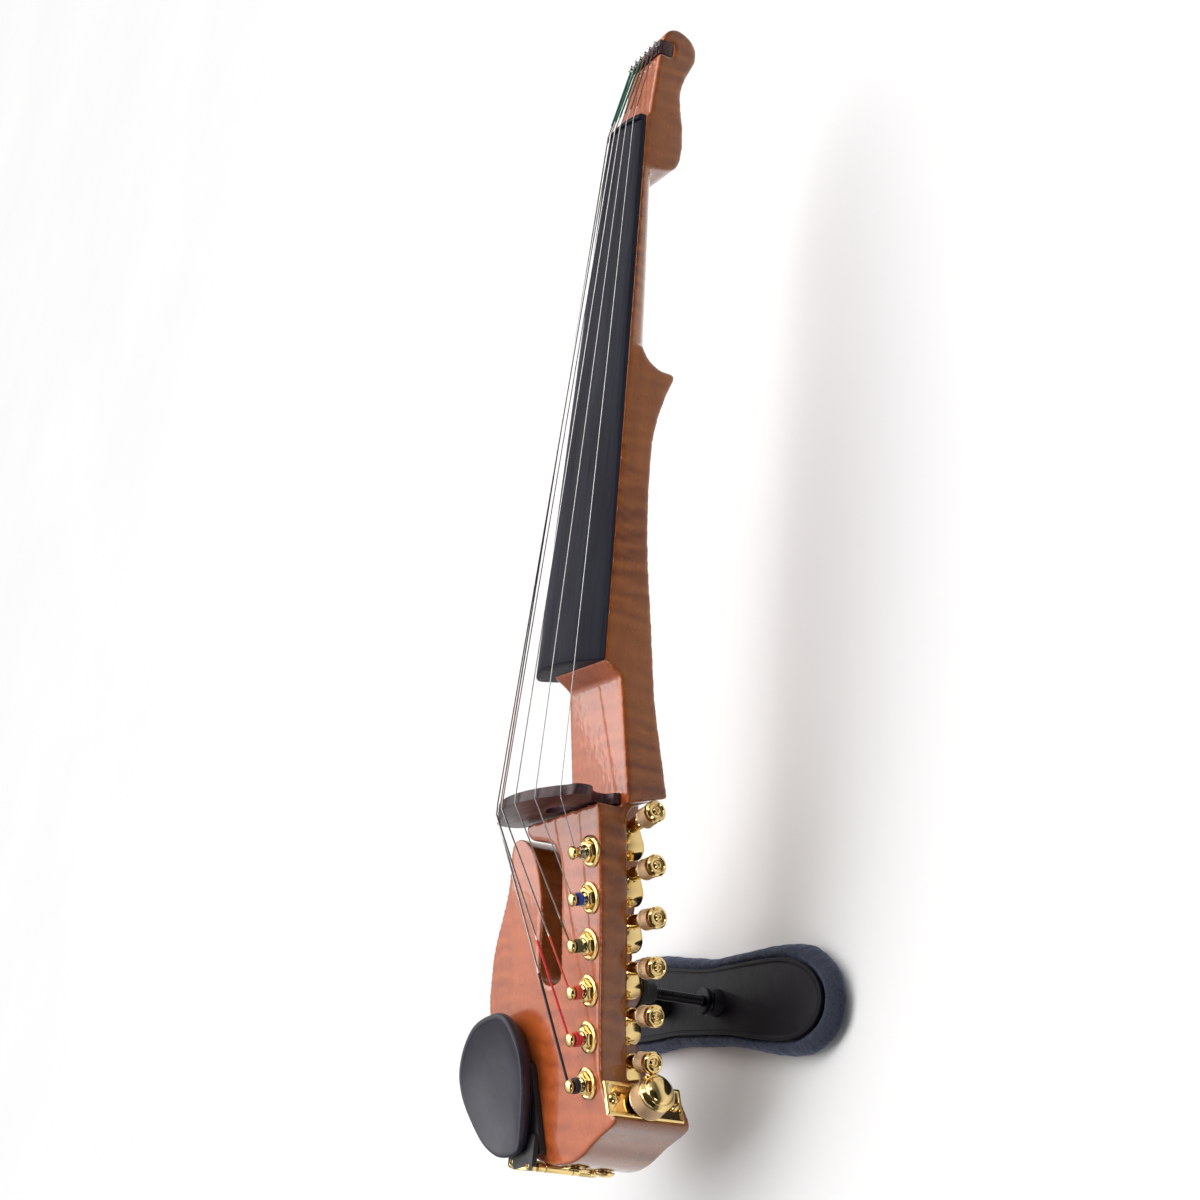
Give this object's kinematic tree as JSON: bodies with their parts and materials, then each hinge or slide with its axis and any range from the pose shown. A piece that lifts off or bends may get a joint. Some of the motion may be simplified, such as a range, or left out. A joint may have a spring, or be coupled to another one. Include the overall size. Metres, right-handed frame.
{
  "type": "electric violin",
  "caption": "Headless solid-body electric violin in flamed amber lacquer with reversed gold tuners, chin rest and clip-on shoulder rest, modelled with turning tuners and controls.",
  "frame": {"origin": "middle of the bounding box's underside, below the shoulder rest pad", "axes": "+Y along the strings from the tail to the head, +Z out of the playing face, +X to the treble side"},
  "size_m": [0.2058, 0.5444, 0.1331],
  "materials": {
    "maple": "gloss amber lacquer over flamed maple",
    "ebony": "satin",
    "rosewood": "satin",
    "gold": "polished gold plate",
    "string_wire": "wound wire",
    "black_steel": "black oxide",
    "steel": "satin",
    "black_plastic": "matte",
    "black_composite": "semi gloss",
    "foam": "matte foam",
    "rubber": "matte"
  },
  "bodies": {
    "instrument": {"body": "maple", "fingerboard": "ebony", "nut": "ebony", "string_anchor_bar": "rosewood", "bridge": "rosewood", "control_plate": "gold", "plate_screw_1": "gold", "plate_screw_2": "gold", "volume_pot": "steel", "output_jack": "gold", "end_button": "gold", "cavity_cover": "black_plastic", "chin_rest_cup": "ebony", "chin_rest_bracket": "gold", "clamp_hook": "gold", "rest_plate": "black_composite", "rest_foam": "foam", "rest_foot_1": "rubber", "rest_foot_2": "rubber", "ball_end_1": "steel", "string_1": "string_wire", "tuner_bushing_1": "gold", "tuner_housing_1": "gold", "ball_end_2": "steel", "string_2": "string_wire", "tuner_bushing_2": "gold", "tuner_housing_2": "gold", "ball_end_3": "steel", "string_3": "string_wire", "tuner_bushing_3": "gold", "tuner_housing_3": "gold", "ball_end_4": "steel", "string_4": "string_wire", "tuner_bushing_4": "gold", "tuner_housing_4": "gold", "ball_end_5": "steel", "string_5": "string_wire", "tuner_bushing_5": "gold", "tuner_housing_5": "gold", "ball_end_6": "steel", "string_6": "string_wire", "tuner_bushing_6": "gold", "tuner_housing_6": "gold"},
    "knob_1": {"tuner_knob_1": "gold"},
    "post_1": {"tuner_post_1": "gold"},
    "knob_2": {"tuner_knob_2": "gold"},
    "post_2": {"tuner_post_2": "gold"},
    "knob_3": {"tuner_knob_3": "gold"},
    "post_3": {"tuner_post_3": "gold"},
    "knob_4": {"tuner_knob_4": "gold"},
    "post_4": {"tuner_post_4": "gold"},
    "knob_5": {"tuner_knob_5": "gold"},
    "post_5": {"tuner_post_5": "gold"},
    "knob_6": {"tuner_knob_6": "gold"},
    "post_6": {"tuner_post_6": "gold"},
    "volume": {"volume_knob": "gold"},
    "barrel_1": {"clamp_barrel_1": "gold"},
    "barrel_2": {"clamp_barrel_2": "gold"},
    "height_screw_1": {"rest_post_1": "black_steel"},
    "height_screw_2": {"rest_post_2": "black_steel"}
  },
  "joints": [
    {"name": "knob_1_turn", "type": "hinge", "parent": "instrument", "child": "knob_1", "pos_m": [0.0398, -0.12621, 0.08295], "axis": [0.9674, 0.2531, -0.0124], "continuous": true},
    {"name": "post_1_turn", "type": "hinge", "parent": "instrument", "child": "post_1", "pos_m": [0.043, -0.1376, 0.1], "axis": [0.0759, -0.2431, 0.967], "continuous": true},
    {"name": "knob_2_turn", "type": "hinge", "parent": "instrument", "child": "knob_2", "pos_m": [0.03589, -0.14523, 0.07848], "axis": [0.9893, 0.1398, -0.0425], "continuous": true},
    {"name": "post_2_turn", "type": "hinge", "parent": "instrument", "child": "post_2", "pos_m": [0.03826, -0.15679, 0.09555], "axis": [0.0759, -0.2431, 0.967], "continuous": true},
    {"name": "knob_3_turn", "type": "hinge", "parent": "instrument", "child": "knob_3", "pos_m": [0.03181, -0.16436, 0.07399], "axis": [0.9966, 0.0503, -0.0656], "continuous": true},
    {"name": "post_3_turn", "type": "hinge", "parent": "instrument", "child": "post_3", "pos_m": [0.03352, -0.17598, 0.0911], "axis": [0.0759, -0.2431, 0.967], "continuous": true},
    {"name": "knob_4_turn", "type": "hinge", "parent": "instrument", "child": "knob_4", "pos_m": [0.02745, -0.18354, 0.06951], "axis": [0.9969, -0.0017, -0.0787], "continuous": true},
    {"name": "post_4_turn", "type": "hinge", "parent": "instrument", "child": "post_4", "pos_m": [0.02878, -0.19517, 0.08665], "axis": [0.0759, -0.2431, 0.967], "continuous": true},
    {"name": "knob_5_turn", "type": "hinge", "parent": "instrument", "child": "knob_5", "pos_m": [0.02291, -0.20273, 0.06504], "axis": [0.9959, -0.0302, -0.0858], "continuous": true},
    {"name": "post_5_turn", "type": "hinge", "parent": "instrument", "child": "post_5", "pos_m": [0.02404, -0.21435, 0.0822], "axis": [0.0759, -0.2431, 0.967], "continuous": true},
    {"name": "knob_6_turn", "type": "hinge", "parent": "instrument", "child": "knob_6", "pos_m": [0.01817, -0.22192, 0.06059], "axis": [0.9959, -0.0299, -0.0857], "continuous": true},
    {"name": "post_6_turn", "type": "hinge", "parent": "instrument", "child": "post_6", "pos_m": [0.0193, -0.23354, 0.07774], "axis": [0.0759, -0.2431, 0.967], "continuous": true},
    {"name": "volume_turn", "type": "hinge", "parent": "instrument", "child": "volume", "pos_m": [0.03364, -0.2402, 0.0572], "axis": [0.8988, 0.4384, 0], "range_deg": [-280, 0]},
    {"name": "clamp_barrel_1_turn", "type": "hinge", "parent": "instrument", "child": "barrel_1", "pos_m": [-0.025, -0.2702, 0.0645], "axis": [0, 0, 1], "continuous": true},
    {"name": "clamp_barrel_2_turn", "type": "hinge", "parent": "instrument", "child": "barrel_2", "pos_m": [-0.0414, -0.269, 0.0645], "axis": [0, 0, 1], "continuous": true},
    {"name": "height_screw_1_turn", "type": "hinge", "parent": "instrument", "child": "height_screw_1", "pos_m": [-0.036, -0.1902, 0.0285], "axis": [0, 0, 1], "continuous": true},
    {"name": "height_screw_2_turn", "type": "hinge", "parent": "instrument", "child": "height_screw_2", "pos_m": [0.012, -0.1902, 0.0285], "axis": [0, 0, 1], "continuous": true}
  ],
  "couplings": [
    {"joint": "post_1_turn", "follows": "knob_1_turn", "ratio": 0.0714},
    {"joint": "post_2_turn", "follows": "knob_2_turn", "ratio": 0.0714},
    {"joint": "post_3_turn", "follows": "knob_3_turn", "ratio": 0.0714},
    {"joint": "post_4_turn", "follows": "knob_4_turn", "ratio": 0.0714},
    {"joint": "post_5_turn", "follows": "knob_5_turn", "ratio": 0.0714},
    {"joint": "post_6_turn", "follows": "knob_6_turn", "ratio": 0.0714}
  ]
}
